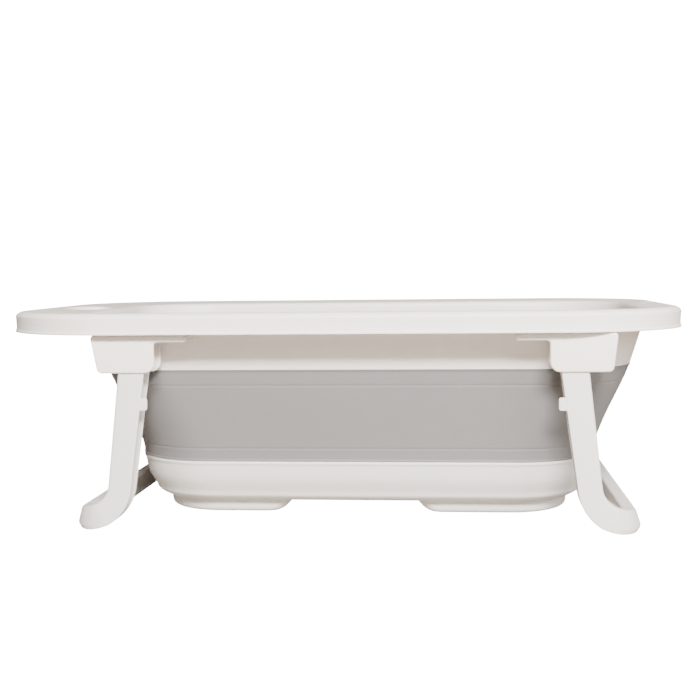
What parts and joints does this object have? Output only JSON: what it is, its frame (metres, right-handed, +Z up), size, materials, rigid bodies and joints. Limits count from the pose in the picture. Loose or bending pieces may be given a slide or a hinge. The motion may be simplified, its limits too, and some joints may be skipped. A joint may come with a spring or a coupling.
{
  "type": "collapsible pet bathtub",
  "caption": "Rounded rectangular pet bath with a wide rim, a soft folding side wall, a rigid base and folding U-shaped leg frames.",
  "frame": {"origin": "on the floor, under the middle of the rim's outline, with the feet standing on z = 0", "axes": "+Z up, +X along the tub's length away from the end with the wide deck and soap dish, +Y across it"},
  "size_m": [0.82, 0.502, 0.2565],
  "materials": {
    "white_pp": "satin moulded polypropylene, warm off-white",
    "leg_pp": "satin moulded polypropylene, slightly greyer off-white",
    "grey_tpe": "matt soft elastomer, warm grey",
    "foot_rubber": "matt non-slip rubber, light grey",
    "pin_steel": "plain bright steel"
  },
  "bodies": {
    "rim": {"rim_frame": "white_pp", "soft_wall": "grey_tpe", "left_front_leg_socket": "white_pp", "left_rear_leg_socket": "white_pp", "right_front_leg_socket": "white_pp", "right_rear_leg_socket": "white_pp", "left_front_pivot_pin": "pin_steel", "left_rear_pivot_pin": "pin_steel", "right_front_pivot_pin": "pin_steel", "right_rear_pivot_pin": "pin_steel", "left_front_flange_screw": "pin_steel", "left_rear_flange_screw": "pin_steel", "right_front_flange_screw": "pin_steel", "right_rear_flange_screw": "pin_steel", "left_front_housing_screw": "pin_steel", "left_rear_housing_screw": "pin_steel", "right_front_housing_screw": "pin_steel", "right_rear_housing_screw": "pin_steel"},
    "base": {"base_shell": "white_pp", "drain_seat": "white_pp", "drain_nut": "white_pp"},
    "plug": {"drain_plug": "grey_tpe"},
    "left_legs": {"left_leg_frame": "leg_pp", "left_front_foot_pad": "foot_rubber", "left_rear_foot_pad": "foot_rubber"},
    "right_legs": {"right_leg_frame": "leg_pp", "right_front_foot_pad": "foot_rubber", "right_rear_foot_pad": "foot_rubber"}
  },
  "joints": [
    {"name": "base_lift", "type": "slide", "parent": "rim", "child": "base", "axis": [0, 0, 1], "range_m": [0, 0.15], "deforming": ["soft_wall"]},
    {"name": "left_leg_fold", "type": "hinge", "parent": "rim", "child": "left_legs", "pos_m": [-0.2313, 0, 0.207], "axis": [0, -1, 0], "range_deg": [0, 94]},
    {"name": "right_leg_fold", "type": "hinge", "parent": "rim", "child": "right_legs", "pos_m": [0.2703, 0, 0.207], "axis": [0, 1, 0], "range_deg": [0, 94]},
    {"name": "plug_pull", "type": "slide", "parent": "base", "child": "plug", "axis": [0, 0, 1], "range_m": [0, 0.04]}
  ],
  "couplings": [
    {"joint": "left_leg_fold", "follows": "base_lift", "rad_per_m": 10.93},
    {"joint": "right_leg_fold", "follows": "base_lift", "rad_per_m": 10.93}
  ]
}
